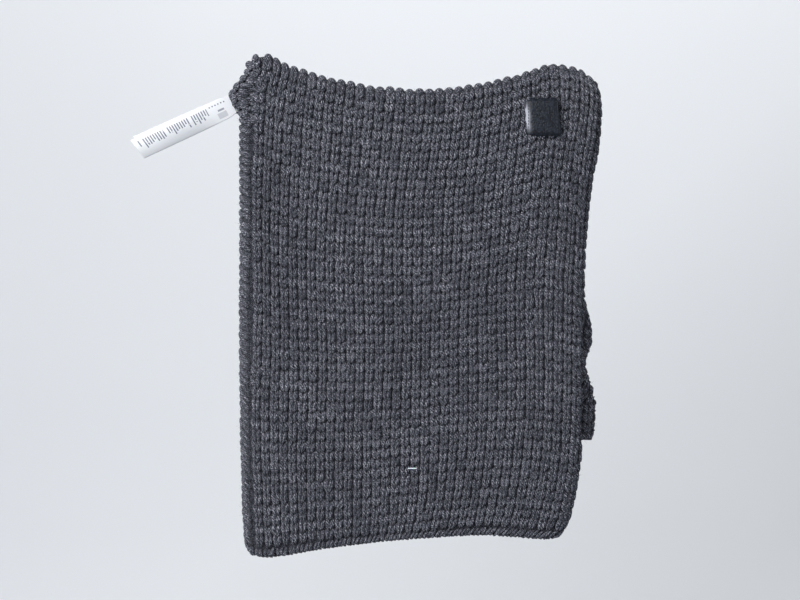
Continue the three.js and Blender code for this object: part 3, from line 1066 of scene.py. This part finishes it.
def label_leaf(name, node, length, shift, off, lift):
    """One leaf of the folded tape; shift, off and lift part its free end from the other's."""
    leaf = add_grid(name, 90, 24)
    co = positions(leaf)
    share = co[:, 0] + 0.5
    across = -co[:, 1] * LABEL_WIDE
    opened = smoothstep(share, 0, 0.5)
    drawn_in = 1 - 0.30 * (1 - np.sqrt(smoothstep(share, 0, 0.14)))
    bow = 0.0032 * (1 - (across / (LABEL_WIDE / 2)) ** 2)
    y = off - bow * opened + lift * share**2 + 0.0006 * np.sin(share * 9) * across / 0.012
    along = LEAF_START + share * (length - 0.005 * (0.5 - across / LABEL_WIDE))
    sideways = across * drawn_in + shift * share
    place = LABEL_ROOT + along[:, None] * LABEL_ALONG + sideways[:, None] * LABEL_ACROSS
    set_positions(leaf, np.stack([place[:, 0], y, place[:, 1]], 1))
    # The print's map is in millimetres.
    layer = leaf.data.uv_layers.active.data
    corner = np.empty(len(leaf.data.loops), int)
    leaf.data.loops.foreach_get("vertex_index", corner)
    uv = np.stack([share * length * 1000, (across + LABEL_WIDE / 2) * 1000], 1)[corner]
    layer.foreach_set("uv", uv.ravel())
    thicken(leaf, 0.0004)
    leaf.data.materials.append(WHITE_SATIN)
    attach(leaf, "care_label")
    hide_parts(node)


label_leaf("label_front_leaf", "care_label_front_leaf", 0.1115, 0, -0.0005, -0.005)
label_leaf("label_back_leaf", "care_label_back_leaf", 0.108, 0.0034, 0.0005, 0.0015)


# ---- Tag fastener ----
# A moulded nylon tag pin is shot through the front layer. Only its short cross bar shows, and
# its stem runs through the knit to a foot inside.
def nylon_material():
    tree, surface = new_material("clear_nylon")
    haze = noise(tree, own_place(tree), 500, 3)
    tint = ramp(tree, haze, (0, (0.72, 0.74, 0.78)), (1, (0.92, 0.93, 0.95)))
    tree.links.new(tint, surface.inputs["Base Color"])
    add_relief(tree, surface, haze, 0.15, 0.0001)
    set_inputs(surface, {"Roughness": 0.3, "Subsurface Weight": 0.4, "Subsurface Scale": 0.001})
    return bpy.data.materials["clear_nylon"]


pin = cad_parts["tag_fastener"]
pin.data.materials.clear()
pin.data.materials.append(nylon_material())


# ---- Stray fibres ----
# The wool lifts a fine fuzz all over the knit and along its rim, and a few long pale hairs lie
# flatter among it. Every fibre is rooted in the yarn and bends over as it leaves it.
def fuzz(name, count, seed, length, thickness, at_rim, depth, stand, finish):
    """Scatters fibres: at_rim is their share at the rim, and stand how straight they stand."""
    apart = 10
    rim_depth, rim_rise = 0.0008, 0.003
    rng = np.random.default_rng(seed)
    select_only()
    bpy.ops.mesh.primitive_cone_add(
        vertices=3, radius1=1, radius2=0.25, depth=1, location=(0, 0, 0.5)
    )
    hair = joined(name, [bpy.context.object])
    which, _, local = set_out(hair, count, 1, apart, 0)
    s = rng.uniform(0, LENGTH_ROUND, count)
    v = rng.uniform(0.004, TALL - 0.014, count)
    rim = rng.uniform(0, 1, count) < at_rim
    s = np.where(rim, SEAM_STRIP + s * (1 - 2 * SEAM_STRIP / LENGTH_ROUND), s)
    v = np.where(rim, TALL - rng.uniform(0.001, 0.004, count), v)
    depth = np.where(rim, rim_depth, depth)
    root = on_wall(s, v, depth)
    way = on_wall(s, v + rim_rise * rim, depth + 0.003) - root
    way /= np.linalg.norm(way, axis=1, keepdims=True)
    way = stand * way + rng.normal(0, 0.8, (count, 3))
    way /= np.linalg.norm(way, axis=1, keepdims=True)
    side = np.cross(way, rng.normal(0, 1, (count, 3)))
    side /= np.linalg.norm(side, axis=1, keepdims=True)
    other = np.cross(way, side)
    long = length * rng.uniform(0.4, 1.3, count)
    bend = rng.normal(0, 0.35, (count, 1))
    far = local[:, 2:3] * long[which][:, None]
    place = root[which] + way[which] * far
    place = place + side[which] * (local[:, :1] * thickness + bend[which] * far * local[:, 2:3])
    place = place + other[which] * local[:, 1:2] * thickness
    set_positions(hair, place)
    set_value(hair, "tone", rng.uniform(0.6, 1.0, count)[which])
    set_value(hair, "crown", 1.0 + 0 * which)
    hair.data.materials.append(finish)
    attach(hair, "gaiter")
    return hair


def pale_fibre_material():
    tree, surface = new_material("pale_fibre")
    along = noise(tree, own_place(tree), 300)
    tint = ramp(tree, along, (0, (0.30, 0.31, 0.35)), (1, (0.62, 0.63, 0.68)))
    tree.links.new(tint, surface.inputs["Base Color"])
    surface.inputs["Roughness"].default_value = 0.8
    return bpy.data.materials["pale_fibre"]


PALE_FIBRE = pale_fibre_material()
on_ground.append(fuzz("wool_fuzz", 15000, 71, 0.0044, 0.00006, 0.05, 0.0024, 0.8, RIB_WOOL))
on_ground.append(fuzz("pale_hairs", 70, 73, 0.0085, 0.00013, 0, 0.0034, 0.15, PALE_FIBRE))
